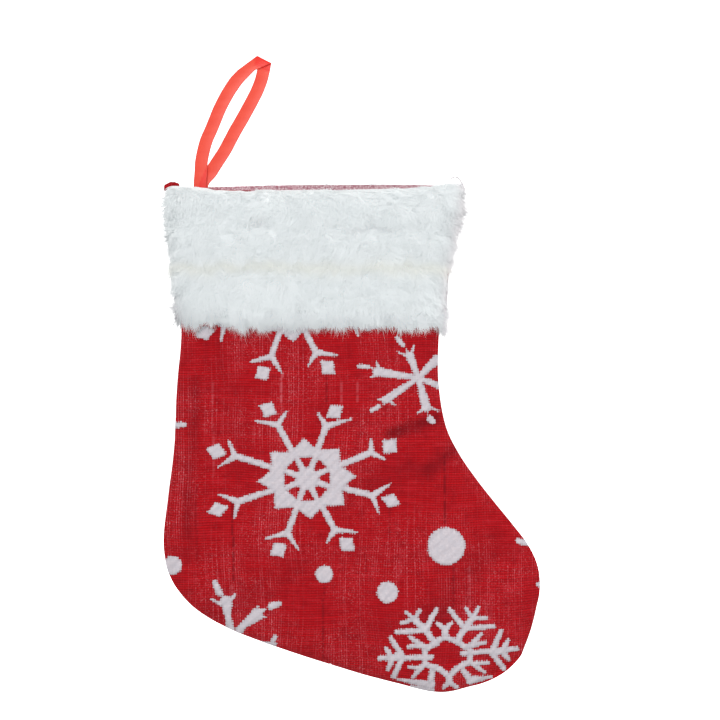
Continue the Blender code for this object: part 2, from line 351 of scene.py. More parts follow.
def stroke(x, z, start, end, start_width, end_width):
    """How far outside a straight tapered stroke each place is."""
    run_x, run_z = end[0] - start[0], end[1] - start[1]
    length = run_x**2 + run_z**2
    share = np.clip(((x - start[0]) * run_x + (z - start[1]) * run_z) / length, 0.0, 1.0)
    away = np.hypot(x - start[0] - run_x * share, z - start[1] - run_z * share)
    return away - (start_width + (end_width - start_width) * share) / 2


def diamond(x, z, centre, half_width, half_height, turn):
    """How far outside a leaning diamond each place is."""
    c, s = math.cos(math.radians(turn)), math.sin(math.radians(turn))
    dx, dz = x - centre[0], z - centre[1]
    u, v = dx * c + dz * s, dz * c - dx * s
    slope = math.hypot(1 / half_width, 1 / half_height)
    return (np.abs(u) / half_width + np.abs(v) / half_height - 1) / slope


# The great snowflake's arms, from its middle: fork, the tips of its two prongs, and the diamond's middle,
# half-widths and lean.
FLAKE_ARMS = [
    ((-14.1, 25.8), (-24.8, 27.8), (-9.8, 32.4), (-18.8, 33.2), (5.0, 4.2), -25),
    ((9.1, 25.3), (5.3, 31.6), (21.3, 28.7), (13.3, 32.2), (5.0, 4.2), 35),
    ((30.6, 12.6), (30.7, 19.3), (37.3, 9.3), (39.6, 15.7), (4.9, 4.6), 48),
    ((31.3, -8.0), (40.1, -2.3), (34.5, -16.4), (40.2, -10.5), (5.2, 3.8), -20),
    ((13.2, -24.3), (24.1, -25.6), (9.4, -30.6), (19.0, -31.3), (5.2, 4.2), -40),
    ((-9.5, -26.2), (-19.8, -28.7), (-4.1, -34.0), (-13.8, -34.2), (5.0, 4.2), 30),
    ((-33.3, -11.1), (-42.4, -7.4), (-34.9, -18.9), (-43.0, -14.9), (5.6, 3.8), 15),
    ((-34.6, 10.9), (-37.7, 18.1), (-42.4, 5.8), (-43.6, 13.1), (5.4, 4.2), -15),
]
STAR_STRETCH = 1.22  # the star is wider than it is high
WINDOW_STRETCH = 1.06
STAR_TURN = 4.0
STAR_POINT = 19.6
STAR_NOTCH = 14.6
WINDOW_TURN = 2.5
WINDOW_NEAR, WINDOW_FAR = 5.4, 10.2


def folded(x, z, turn):
    """Places folded into one eighth of a turn: how far along its middle line they lie, and how far beside."""
    radius = np.hypot(x, z)
    angle = np.degrees(np.arctan2(z, x)) - turn
    fold = np.radians(np.abs((angle + 22.5) % 45 - 22.5))
    return radius * np.cos(fold), radius * np.sin(fold)


def star(x, z):
    """The eight-pointed star in the great snowflake's middle, with its eight wedge-shaped windows."""
    along_point, beside = folded(x / STAR_STRETCH, z, STAR_TURN)
    notch_along, notch_beside = STAR_NOTCH * math.cos(math.pi / 8), STAR_NOTCH * math.sin(math.pi / 8)
    run, rise = notch_along - STAR_POINT, notch_beside
    outside = ((along_point - STAR_POINT) * rise - beside * run) / math.hypot(run, rise)

    depth, beside = folded(x / WINDOW_STRETCH, z, WINDOW_TURN)
    half_width = 0.5 + 2.4 * (depth - WINDOW_NEAR) / (WINDOW_FAR - WINDOW_NEAR)
    window = np.maximum.reduce([WINDOW_NEAR - depth, depth - WINDOW_FAR, beside - half_width])
    return np.maximum(outside, -window)


def great_flake(x, z, centre, squeeze=1.0):
    x, z = (x - centre[0]) / squeeze, z - centre[1]
    shapes = [star(x, z)]
    for fork, prong_a, prong_b, middle, halves, lean in FLAKE_ARMS:
        shapes.append(stroke(x, z, (fork[0] * 0.42, fork[1] * 0.42), fork, 3.0, 3.2))
        shapes.append(stroke(x, z, fork, prong_a, 3.4, 1.1))
        shapes.append(stroke(x, z, fork, prong_b, 3.4, 1.1))
        shapes.append(diamond(x, z, middle, halves[0], halves[1], lean))
    return np.minimum.reduce(shapes)


# The small snowflake, from its middle: strokes as x, z at one end, x, z at the other, and the width at each.
SMALL_FLAKE = [
    (0.0, 0.0, -4.0, 10.6, 2.4, 4.3), (-4.2, 10.6, -5.8, 13.6, 1.9, 1.0),
    (-4.0, 10.6, -2.0, 15.8, 1.9, 1.0), (-5.0, 10.1, -10.5, 12.7, 1.4, 0.8),
    (-7.6, 15.8, -10.2, 19.2, 2.4, 2.4), (0.0, 0.0, -19.8, 3.0, 2.4, 4.6),
    (-18.9, 3.8, -20.1, 7.7, 1.9, 1.0), (-19.8, 3.4, -22.5, 4.6, 1.9, 1.0),
    (-19.8, 1.9, -22.5, 0.5, 1.9, 1.0), (-24.2, 5.3, -28.5, 5.5, 2.4, 2.2),
    (0.0, 0.0, -15.5, -10.3, 2.4, 4.3), (-15.5, -10.1, -19.1, -10.3, 1.9, 1.0),
    (-15.6, -10.6, -16.8, -12.6, 1.9, 1.0), (-14.6, -10.6, -11.2, -13.0, 1.9, 1.0),
    (-19.0, -13.6, -22.2, -15.6, 2.4, 2.4), (0.0, 0.0, 3.7, -13.9, 2.9, 4.8),
    (2.7, -14.4, -0.4, -16.8, 1.9, 1.0), (4.2, -14.4, 4.6, -16.6, 1.9, 1.0),
    (5.1, -13.9, 10.2, -15.8, 1.9, 1.0), (5.6, -19.6, 6.6, -20.8, 3.4, 3.2), (0.0, 0.0, 8.5, 8.6, 2.4, 4.8),
    (0.0, 0.0, 9.4, -3.6, 2.4, 3.4),
]
# The part of another small snowflake that the sole's seam cuts off, in the same way.
CUT_FLAKE = [
    (-0.4, 2.8, -1.8, 10.0, 3.8, 3.1), (-1.8, 9.5, -2.6, 16.7, 3.1, 6.0),
    (-3.7, 16.7, -4.6, 20.3, 2.4, 1.2), (-1.8, 16.2, 1.6, 20.0, 2.4, 1.6),
    (-5.1, 15.7, -9.6, 18.1, 2.2, 1.1), (-8.1, 26.0, -5.8, 21.0, 2.9, 3.4), (3.7, 3.2, 6.9, 6.6, 4.2, 3.6),
    (6.4, 6.1, 12.2, 10.7, 3.6, 6.2), (11.7, 11.4, 12.5, 14.6, 1.9, 1.1),
    (12.6, 11.4, 15.8, 13.0, 2.2, 1.6), (13.1, 10.4, 16.6, 9.2, 1.9, 0.9),
    (18.9, 14.5, 22.5, 15.9, 3.6, 2.8), (19.8, -2.0, 20.9, -0.1, 2.1, 2.6),
    (14.6, -2.8, 20.8, -3.7, 1.4, 1.9),
]
# The toe's ice crystal, from the middle of its star-shaped hole, in the same way.
ICE_CRYSTAL = [
    (-7.6, -0.8, -32.2, -1.4, 2.8, 2.6), (-26.9, 8.2, -21.2, -0.4, 2.6, 3.0),
    (-21.2, -0.4, -25.4, -10.1, 3.0, 2.8), (-29.1, 3.3, -26.1, -1.4, 2.2, 3.0),
    (-26.1, -1.4, -28.1, -6.5, 3.0, 2.2), (-22.0, -0.6, -30.5, -1.3, 4.6, 2.6),
    (7.4, 1.0, 33.4, 3.1, 2.8, 2.4), (25.8, 11.7, 21.4, 1.4, 2.6, 3.0), (21.4, 1.4, 27.3, -6.5, 3.0, 2.8),
    (29.2, 7.2, 26.3, 1.9, 2.2, 3.0), (26.3, 1.9, 29.7, -2.1, 3.0, 2.2), (22.0, 1.6, 31.0, 2.8, 4.6, 2.6),
    (-5.2, 5.8, -10.5, 12.1, 3.3, 3.3), (-10.5, 12.1, -5.1, 21.7, 3.0, 2.6),
    (-10.5, 12.1, -24.2, 11.2, 2.6, 2.6), (-10.5, 12.1, -15.8, 17.3, 3.4, 3.4),
    (-15.8, 17.3, -19.5, 20.7, 2.6, 1.9), (-15.8, 17.3, -13.1, 21.4, 2.4, 2.0),
    (-15.8, 17.3, -21.7, 15.5, 2.4, 2.0), (4.7, 6.8, 8.4, 13.1, 3.3, 3.3), (8.4, 13.1, 1.3, 21.9, 3.0, 2.6),
    (8.4, 13.1, 22.1, 14.1, 2.6, 2.6), (8.4, 13.1, 12.1, 18.0, 3.4, 3.4), (12.1, 18.0, 9.1, 22.6, 2.4, 2.0),
    (12.1, 18.0, 15.0, 22.9, 2.6, 1.9), (12.1, 18.0, 18.9, 18.3, 2.4, 2.0),
    (-0.9, 8.7, -0.9, 12.6, 3.0, 3.4), (-0.9, 12.6, -4.6, 15.3, 2.6, 1.9),
    (-0.9, 12.6, 2.0, 15.6, 2.6, 1.9), (-9.3, 3.4, -5.6, 6.8, 3.1, 2.8), (-5.6, 6.8, -0.8, 8.9, 2.8, 2.8),
    (-0.8, 8.9, 4.7, 6.8, 2.8, 2.8), (4.7, 6.8, 8.9, 3.9, 2.8, 3.1), (-11.9, 4.8, -18.0, 9.0, 2.8, 1.9),
    (-11.9, 4.8, -18.5, 4.3, 2.8, 2.0), (-9.5, 3.4, -11.9, 4.8, 2.8, 3.0), (8.9, 3.9, 11.3, 4.8, 2.8, 3.0),
    (11.3, 4.8, 16.5, 10.6, 2.8, 1.9), (11.3, 4.8, 18.2, 6.3, 2.8, 2.0),
    (-10.7, 1.9, -10.7, -4.0, 2.8, 2.8), (11.0, 2.3, 11.0, -3.0, 2.8, 2.8),
    (-10.7, -4.0, -3.6, -6.6, 3.0, 3.0), (-3.6, -6.6, 1.0, -10.0, 3.0, 3.2),
    (1.0, -10.0, 5.1, -5.9, 3.2, 3.0), (5.1, -5.9, 11.0, -3.0, 3.0, 3.0),
    (-10.7, -4.0, -12.7, -6.2, 2.8, 2.6), (-12.4, -6.0, -18.0, -5.5, 2.4, 2.0),
    (-12.4, -6.0, -16.3, -10.4, 2.6, 2.0), (11.0, -3.0, 12.5, -4.3, 2.8, 2.6),
    (12.1, -4.0, 19.7, -3.5, 2.6, 2.0), (12.1, -4.0, 18.0, -8.2, 2.6, 2.0),
    (1.3, -9.9, 1.3, -12.8, 3.4, 3.4), (1.3, -12.8, -1.6, -15.5, 2.6, 2.2),
    (1.3, -12.8, 4.7, -15.3, 2.6, 2.2), (-7.1, -7.4, -8.0, -13.9, 2.9, 3.4),
    (-24.0, -11.6, -7.6, -14.1, 1.2, 4.3), (-16.7, -15.8, -7.1, -16.8, 2.9, 2.9),
    (8.0, -7.4, 11.1, -11.7, 2.9, 3.4), (11.1, -12.2, 21.2, -10.5, 4.3, 1.6),
]


def strokes(x, z, centre, table):
    shapes = []
    for x1, z1, x2, z2, width_1, width_2 in table:
        start, end = (centre[0] + x1, centre[1] + z1), (centre[0] + x2, centre[1] + z2)
        shapes.append(stroke(x, z, start, end, width_1, width_2))
    return np.minimum.reduce(shapes)


def spots(x, z, *spots_at):
    """How far outside each of the round spots, (x, z, radius), the places are."""
    return [np.hypot(x - spot_x, z - spot_z) - radius for spot_x, spot_z, radius in spots_at]


def front_pattern(x, z):
    """How far outside the front's woven motifs each place is."""
    return np.minimum.reduce([
        great_flake(x, z, (22.6, -197.2)),
        great_flake(x, z, (14.4, -112.3), 0.95),
        strokes(x, z, (76.0, -148.8), SMALL_FLAKE),
        strokes(x, z, (-13.6, -273.0), CUT_FLAKE),
        strokes(x, z, (89.7, -281.8), ICE_CRYSTAL),
        stroke(x, z, (-40.6, -171.4), (-36.2, -171.2), 3.0, 2.6),
        stroke(x, z, (124.1, -227.0), (128.6, -228.2), 3.0, 3.0),
        stroke(x, z, (133.6, -248.0), (136.8, -248.0), 2.4, 3.6),
        *spots(x, z, (89.3, -229.4, 9.1), (30.9, -243.1, 4.4), (61.2, -251.7, 5.2), (-42.0, -238.8, 4.6)),
    ])


def back_pattern(x, z):
    """The same cloth, cut from another place along its length."""
    return np.minimum.reduce([
        great_flake(x, z, (42.0, -168.0)),
        great_flake(x, z, (22.0, -270.0), 0.95),
        strokes(x, z, (-12.0, -207.0), SMALL_FLAKE),
        strokes(x, z, (98.0, -246.0), ICE_CRYSTAL),
        strokes(x, z, (-12.0, -128.0), ICE_CRYSTAL),
        *spots(x, z, (88.0, -198.0, 8.0), (60.0, -222.0, 5.0), (70.0, -284.0, 6.0), (-22.0, -161.0, 4.5)),
    ])


# Pulled and thinned warp threads that show as fine upright lines: x, top, bottom, tone (dark is negative).
PULLED_THREADS = [
    (11.0, -146.0, -164.0, 0.9), (32.2, -148.0, -166.0, -0.8), (39.4, -150.0, -164.0, 0.5),
    (47.0, -150.0, -160.0, 0.5), (-12.5, -206.0, -247.0, -1.0), (-13.0, -245.0, -252.0, 0.8),
    (30.7, -246.0, -284.0, -0.8), (50.4, -229.0, -242.0, -0.5), (88.3, -185.0, -219.0, -1.0),
    (92.2, -238.0, -258.0, -0.7), (99.8, -238.0, -258.0, 0.6), (-30.0, -200.0, -236.0, -0.5),
    (62.0, -196.0, -226.0, -0.4), (-22.0, -150.0, -196.0, 0.4),
]


def woven_fields(side, x, z, depth):
    """For places on the cloth: how far outside the motifs they are, and how much pulled thread they show."""
    # The drawing is laid out at the seam; the swollen front is nearer the eye, so it is drawn smaller there.
    nearer = EYE_DISTANCE / (EYE_DISTANCE - depth)
    drawn_x = CAMERA_MIDDLE[0] + (x - CAMERA_MIDDLE[0]) * nearer
    drawn_z = CAMERA_MIDDLE[1] + (z - CAMERA_MIDDLE[1]) * nearer
    pattern = front_pattern if side == FRONT else back_pattern
    outside = np.clip(pattern(drawn_x, drawn_z), -3.0, 3.0)
    random = np.random.default_rng(7).uniform(-1, 1, 512)
    row = np.floor(z / THREAD_PITCH).astype(int) + 400
    pulled = np.zeros_like(x)
    for line_x, top, bottom, tone in PULLED_THREADS:
        near = np.abs(x + 0.25 * np.sin(z / 9.0) - line_x) < 0.5 * THREAD_PITCH
        dashes = 0.3 + 0.7 * (random[(row * 3) % 512] > -0.2)
        pulled += near * (z < top) * (z > bottom) * tone * dashes
    return outside, np.clip(pulled, -1, 1)


# ---------------------------------------------------------------- cloth panels


def cloth_outline(side):
    """The cut edge of one whole panel as closely spaced places."""
    down = np.linspace(0, 1, 260)
    across = np.linspace(0, 1, 60)
    runs = [
        outline_point(0.0, across, side),
        outline_point(down, 1.0),
        outline_point(1.0, across[::-1]),
        outline_point(down[::-1], 0.0),
    ]
    x = np.concatenate([run[0] for run in runs])
    z = np.concatenate([run[1] for run in runs])
    return x, z


def inside_outline(x, z, outline):
    edge_x, edge_z = outline
    inside = np.zeros(x.shape, bool)
    for x1, z1, x2, z2 in zip(edge_x, edge_z, np.roll(edge_x, -1), np.roll(edge_z, -1)):
        if z1 == z2:
            continue
        crosses = (z1 > z) != (z2 > z)
        inside ^= crosses & (x < x1 + (z - z1) / (z2 - z1) * (x2 - x1))
    return inside


def nearest_on_outline(x, z, outline):
    x1, z1 = outline
    x2, z2 = np.roll(x1, -1), np.roll(z1, -1)
    run_x, run_z = x2 - x1, z2 - z1
    length = np.maximum(run_x**2 + run_z**2, 1e-9)
    share = ((x[:, None] - x1) * run_x + (z[:, None] - z1) * run_z) / length
    share = np.clip(share, 0.0, 1.0)
    near_x, near_z = x1 + run_x * share, z1 + run_z * share
    away = np.hypot(x[:, None] - near_x, z[:, None] - near_z)
    best = away.argmin(axis=1)
    pick = np.arange(len(x))
    return near_x[pick, best], near_z[pick, best], away[pick, best]


RAISED_YARN = 0.7
RIB_HEIGHT, ROW_HEIGHT = 0.05, 0.12  # of the cloth's ribs and of the raised yarn's rows
SLANT_PITCH = 5.4  # from one slanting row of the raised yarn to the next
# Soft creases in the cloth, which also darken its colour with painted shade: one end and the other, depth and
# width.
CREASES = {
    FRONT: (
        ((84.0, -168.5), (63.0, -176.0), 2.0, 3.0), ((94.0, -182.0), (80.0, -193.0), 1.8, 3.6),
        ((-31.0, -150.0), (-35.0, -232.0), 1.1, 3.6), ((72.0, -192.0), (40.0, -206.0), 0.8, 6.0),
        ((112.0, -226.0), (84.0, -262.0), 0.8, 7.0), ((-24.0, -262.0), (20.0, -240.0), 0.7, 7.0),
        ((-20.0, -132.0), (-8.0, -190.0), 0.5, 7.0), ((88.0, -262.0), (40.0, -272.0), 0.6, 5.0),
    ),
    BACK: (
        ((84.0, -172.0), (52.0, -190.0), 1.6, 4.0), ((-34.0, -206.0), (0.0, -222.0), 1.2, 5.0),
        ((60.0, -226.0), (96.0, -262.0), 0.9, 7.0), ((-20.0, -140.0), (6.0, -186.0), 0.7, 7.0),
    ),
}


def painted_crease_shade(side, x, z):
    """How deep in the creases each place is, from 0 to 1, in broken patches: the strength of the painted
    shade there.
    """
    shade = np.zeros_like(x)
    for start, end, depth, width in CREASES[side]:
        shade += depth / 2.0 * np.exp(-((stroke(x, z, start, end, 0.0, 0.0) / width) ** 2))
    return np.clip(shade * (0.8 + 0.5 * soft_noise(x, z, 6.0, 91)), 0, 1)


def cloth_relief(side, x, z, s, t, raised):
    """How far the cloth's outer face stands off, with its folds, seam puckers, ribs and raised yarn."""
    stands = SEAM_OFFSET + CLOTH / 2 + swell(side, s, t)
    middle = smooth_step(np.minimum(t, 1 - t), 0.0, 0.16)
    folds = 1.7 * soft_noise(x, z, 42, 11 + side) + 0.5 * soft_noise(x * 0.8, z * 1.3, 16, 21 + side)
    edge = np.minimum(np.minimum(t, 1 - t) * 125, (1 - s) * 450)
    # The two cloths turn in and meet at the seam.
    stands = stands - 0.85 * np.exp(-((edge / 2.6) ** 2))
    pucker = 0.45 * np.exp(-edge / 4.5) * soft_noise(s * 260, t * 8, 5.5, 31 + side)
    for start, end, depth, width in CREASES[side]:
        folds -= depth * np.exp(-((stroke(x, z, start, end, 0.0, 0.0) / width) ** 2))
    ribs = RIB_HEIGHT * np.where(np.floor(z / MESH_STEP).astype(int) % 2 == 0, 1, -1) * (1 - raised)
    ribs = ribs * smooth_step(np.minimum(edge, s * 280), 0.3, 1.6)
    # The raised yarn lies in slanting rows.
    ribs = ribs + ROW_HEIGHT * raised * np.sin((x - z) * 2 * math.pi / SLANT_PITCH)
    return stands + middle * folds * (1 - smooth_step(s, 0.93, 1.0)) + pucker + ribs


def cut_cloth(name, side, x_low, x_high, outside, reverse):
    """A piece of one panel: a grid on the threads, cut to the outline, swollen, woven and made thick."""
    outline = cloth_outline(side)
    z_low, z_high = outline[1].min() - 2, outline[1].max() + 2
    first_column, last_column = math.floor(x_low / MESH_STEP), math.ceil(x_high / MESH_STEP)
    first_row, last_row = math.floor(z_low / MESH_STEP), math.ceil(z_high / MESH_STEP)
    columns, rows = last_column - first_column, last_row - first_row
    mesh = bmesh.new()
    bmesh.ops.create_grid(mesh, x_segments=columns, y_segments=rows, size=0.5)
    middles = np.array([face.calc_center_median()[:2] for face in mesh.faces])
    middle_x = (first_column + 0.5 + (middles[:, 0] + 0.5) * columns) * MESH_STEP
    middle_z = (first_row + 0.5 + (middles[:, 1] + 0.5) * rows) * MESH_STEP
    kept = inside_outline(middle_x, middle_z, outline) & (middle_x > x_low) & (middle_x < x_high)
    mesh.faces.ensure_lookup_table()
    bmesh.ops.delete(mesh, geom=[mesh.faces[i] for i in np.flatnonzero(~kept)], context="FACES")
    border = np.array([vert.is_boundary for vert in mesh.verts])
    data = bpy.data.meshes.new(name)
    mesh.to_mesh(data)
    mesh.free()

    points = coordinates(data)
    x = (first_column + 0.5 + (points[:, 0] + 0.5) * columns) * MESH_STEP
    z = (first_row + 0.5 + (points[:, 1] + 0.5) * rows) * MESH_STEP
    depth = SEAM_OFFSET + CLOTH / 2 + swell(side, *shares_at(x, z))
    motif, pulled = woven_fields(side, x, z, depth)
    raised = smooth_step(-motif, -0.5, 1.0)
    near_x, near_z, away = nearest_on_outline(x[border], z[border], outline)
    for limit in (x_low, x_high):
        closer = np.abs(x[border] - limit) < away
        near_x = np.where(closer, limit, near_x)
        near_z = np.where(closer, z[border], near_z)
        away = np.where(closer, np.abs(x[border] - limit), away)
    x[border], z[border] = near_x, near_z
    s, t = shares_at(x, z)
    y = side * (cloth_relief(side, x, z, s, t, raised) + RAISED_YARN * raised)
    set_coordinates(data, np.column_stack([x, y, z]) * MM)
    set_attribute(data, "motif", motif)
    set_attribute(data, "pulled", pulled)
    set_attribute(data, "painted_crease", painted_crease_shade(side, x, z))
    face_side(data, side)
    made = thicken(link_mesh(name, data, outside, reverse), CLOTH, -1.0, inner=1)
    return made


def open_left(made):
    """A piece of the front's left part, with its placement baked into its mesh."""
    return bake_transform(made)


def open_right(made):
    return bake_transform(made)


def make_cloth():
    outside, reverse = jacquard_cloth(), jacquard_reverse()
    for name, side, low, high, follow in (
        ("front_panel_left", FRONT, -60.0, SPLIT_X, open_left),
        ("front_panel_right", FRONT, SPLIT_X, 150.0, open_right),
        ("back_panel_left", BACK, -60.0, SPLIT_X, None),
        ("back_panel_right", BACK, SPLIT_X, 150.0, None),
    ):
        made = cut_cloth(name, side, low, high, outside, reverse)
        if follow:
            follow(made)
            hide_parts("front_panel")
        else:
            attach(made, "stocking")
            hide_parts("back_panel")


# ---------------------------------------------------------------- materials


def tinted(add, colour, layers):
    """A colour with others laid over it in turn, each given as where it lies, how strongly, and its shade."""
    for share, strength, shade in layers:
        share = add("Math", {0: share, 1: strength}, operation="MULTIPLY")
        colour = add("Mix", {0: share, 6: colour, 7: linear(shade)}, 2, data_type="RGBA")
    return colour


def noise_share(add, place, scale, detail, low, high):
    """Where a noise passes from one level to another, as a share from 0 to 1."""
    noise = add("TexNoise", {"Vector": place, "Scale": scale, "Detail": detail})
    return add("MapRange", {"Value": noise, "From Min": low, "From Max": high})


def attributes(add, *names):
    return [add("Attribute", output="Fac", attribute_name=name) for name in names]


def finish_material(add, shader, colour, height, strength, distance):
    """Gives the shader its colour and a bump of this height, in millimetres."""
    bump = add("Bump", {"Height": height, "Strength": strength, "Distance": distance * MM})
    fill_inputs(shader, {"Base Color": colour, "Normal": bump})


def thread_coordinates(add, place):
    """Object coordinates counted in threads, which sway a little: across and up, each as its own socket."""
    sway = add("TexNoise", {"Vector": place, "Scale": 24.0, "Detail": 0.0}, "Color")
    sway = add("VectorMath", {0: sway, "Scale": 4.0}, operation="SCALE")
    per_metre = (1 / (THREAD_PITCH * MM),) * 3
    threads = add("VectorMath", {0: place, 1: per_metre, 2: sway}, operation="MULTIPLY_ADD")
    return add("SeparateXYZ", {0: threads}, "X"), add("SeparateXYZ", {0: threads}, "Z")


def jacquard_cloth():
    """Woven polyester jacquard: matt red ribs crossed by thinner threads, and raised off-white motifs.

    The grid of lighter threads shows more in some places than in others, as the loom's tension left it.
    """
    material, add, shader = new_material(
        "woven_polyester_jacquard", 0.85, Sheen_Weight=0.03, Sheen_Roughness=0.5, Specular_IOR_Level=0.12,
    )
    place = add("TexCoord", output="Object")
    across, up = thread_coordinates(add, place)
    pulled, painted_crease, motif = attributes(add, "pulled", "painted_crease", "motif")

    # Both are 1 on the middle of a thread and 0 between two threads.
    rib, warp = [
        add("Math", {0: add("Math", {0: count, 1: 0.5}, operation="PINGPONG"), 1: 2.0}, operation="MULTIPLY")
        for count in (up, across)
    ]
    whole_up, whole_across = [add("Math", {0: count}, operation="FLOOR") for count in (up, across)]
    row = add("TexWhiteNoise", {"W": whole_up}, noise_dimensions="1D")
    column = add("TexWhiteNoise", {"W": whole_across}, noise_dimensions="1D")
    cell = add("CombineXYZ", {"X": whole_across, "Y": whole_up})
    cell = add("TexWhiteNoise", {"Vector": cell}, noise_dimensions="2D")
    slubs = add("Mapping", {"Vector": place, "Scale": (90.0, 90.0, 900.0)})
    patch = add("TexNoise", {"Vector": place, "Scale": 32.0, "Detail": 2.0})
    patchy = add("MapRange", {"Value": patch, "From Min": 0.38, "From Max": 0.62, "To Min": 0.15})

    # Fine upright threads lie on the ribs, in runs.
    upright = add("Mapping", {"Vector": place, "Scale": (900.0, 900.0, 60.0)})
    upright = noise_share(add, upright, 1.0, 1.0, 0.56, 0.72)
    upright = add("Math", {0: upright, 1: patchy}, operation="MULTIPLY")

    # The thin crossing threads: a light dot where they rise over a rib, on some threads more than others.
    crossing = add("Math", {0: warp, 1: 0.55}, operation="SUBTRACT", use_clamp=True)
    for factor in (column, patchy):
        crossing = add("Math", {0: crossing, 1: factor}, operation="MULTIPLY")
    dots = add("Math", {0: cell, 1: 0.35}, operation="ADD")
    dots = add("Math", {0: crossing, 1: dots}, operation="MULTIPLY")
    speck = noise_share(add, place, 1500.0, 1.0, 0.58, 0.72)
    for factor in (patchy, add("Math", {0: crossing, 1: 0.25}, operation="ADD")):
        speck = add("Math", {0: speck, 1: factor}, operation="MULTIPLY")

    # Red: the ribs, the slubs, the threads on them, and painted shade in the creases.
    red = tinted(add, linear("#8d050e"), (
        (rib, 1.0, "#c90c17"),
        (row, 0.4, "#980b18"),
        (noise_share(add, slubs, 1.0, 2.0, 0.52, 0.72), 0.22, "#cf2c3a"),
        (noise_share(add, slubs, 1.0, 2.0, 0.48, 0.3), 0.2, "#7a0612"),
        (upright, 0.12, "#dc5c68"),
        (dots, 1.5, "#dd6570"),
        (speck, 1.1, "#e6959c"),
        (pulled, 0.38, "#e07a84"),
        (pulled, -0.6, "#6d0a14"),
        (painted_crease, 0.6, "#5c0510"),
        (noise_share(add, place, 260.0, 3.0, 0.5, 0.75), 0.35, "#7a0612"),
    ))

    # The raised yarn lies in slanting rows, with painted shade in the soft groove between two of them.
    painted_groove_shade = add("Math", {0: across, 1: up}, operation="SUBTRACT")
    painted_groove_shade = add("Math", {0: painted_groove_shade, 1: 2 * math.pi * THREAD_PITCH / SLANT_PITCH}, operation="MULTIPLY")
    painted_groove_shade = add("Math", {0: patch, 1: 16.0, 2: painted_groove_shade}, operation="MULTIPLY_ADD")
    painted_groove_shade = add("Math", {0: painted_groove_shade}, operation="SINE")
    # The motif's edge steps in and out with the threads it is made of.
    for part, strength in ((rib, -0.5), (warp, -0.45), (cell, 0.5)):
        motif = add("Math", {0: part, 1: strength, 2: motif}, operation="MULTIPLY_ADD")
    # Where the yarn turns down into the cloth it is darkened with painted shade.
    painted_edge_shade = add("MapRange", {"Value": motif, "From Min": -1.375, "From Max": -0.275})
    fleck = add("TexNoise", {"Vector": place, "Scale": 900.0, "Detail": 2.0})
    white = tinted(add, linear("#c4bbc1"), (
        (fleck, 1.0, "#e4dce1"),
        (cell, 0.5, "#c3c1ca"),
        (painted_groove_shade, 0.14, "#8f8890"),
        (painted_edge_shade, 0.4, "#9c929a"),
    ))
    edge = add("MapRange", {"Value": motif, "From Min": -0.175, "From Max": -0.375})
    colour = add("Mix", {0: edge, 6: red, 7: white}, 2, data_type="RGBA")

    height = 0.0
    for part, strength in ((rib, 0.6), (warp, 0.3), (cell, 0.3)):
        height = add("Math", {0: part, 1: strength, 2: height}, operation="MULTIPLY_ADD")
    finish_material(add, shader, colour, height, 0.5, 0.12)
    return material


def jacquard_reverse():
    """The jacquard's reverse, where red and off-white threads lie mixed, so it reads as dusty rose."""
    material, add, shader = new_material("woven_polyester_reverse", 0.85, Sheen_Weight=0.1)
    place = add("TexCoord", output="Object")
    # Loose floats of yarn lie in knots a little under a millimetre apart.
    knots = add("TexVoronoi", {"Vector": place, "Scale": 1 / (0.9 * MM)})
    shade = add("MapRange", {"Value": knots, "From Min": 0.15, "From Max": 0.75})
    grain = noise_share(add, place, 380.0, 3.0, 0.4, 0.65)
    rose = tinted(add, linear("#f3dfe3"), ((shade, 1.0, "#b0707f"), (grain, 0.6, "#d5a4af")))
    finish_material(add, shader, rose, knots, 0.5, 0.3)
    return material


def plush_fibre():
    """Short polyester pile: white with a faint cool cast, cream along one band, and greyer towards its roots
    with painted shade.

    Beside the side seams and at the lower left end it is tinted pink. Its glow stands for light that scatters
    in it.
    """
    material, add, shader = new_material(
        "polyester_plush_pile", 0.75, Sheen_Weight=0.25, Sheen_Roughness=0.6, Specular_IOR_Level=0.2,
        Emission_Color=linear("#e9fbff"), Emission_Strength=0.2,
    )
    tone, reach, cream, blush = attributes(add, "tone", "reach", "cream", "blush")
    # Painted shade greys the fibres towards their roots, down in the pile where they shade each other.
    root = tinted(add, linear("#cbc4c6"), ((tone, 1.0, "#f4f7f7"),))
    tip = tinted(add, linear("#e4e3e5"), ((tone, 1.0, "#ffffff"),))
    colour = add("Mix", {0: reach, 6: root, 7: tip}, 2, data_type="RGBA")
    colour = tinted(add, colour, ((cream, 0.5, "#f8f0dc"), (blush, 0.5, "#f3c4cc")))
    fill_inputs(shader, {"Base Color": colour})
    return material


def plush_ground():
    """The plush's knitted ground with the pile's packed roots on it, soft and matt."""
    material, add, shader = new_material("polyester_plush_ground", 0.9, Sheen_Weight=0.3, Sheen_Roughness=0.6)
    tufts = add("TexNoise", {"Vector": add("TexCoord", output="Object"), "Scale": 420.0, "Detail": 4.0})
    colour = tinted(add, linear("#eef1f2"), ((tufts, 1.0, "#fbfdfd"),))
    finish_material(add, shader, colour, tufts, 0.6, 0.8)
    return material


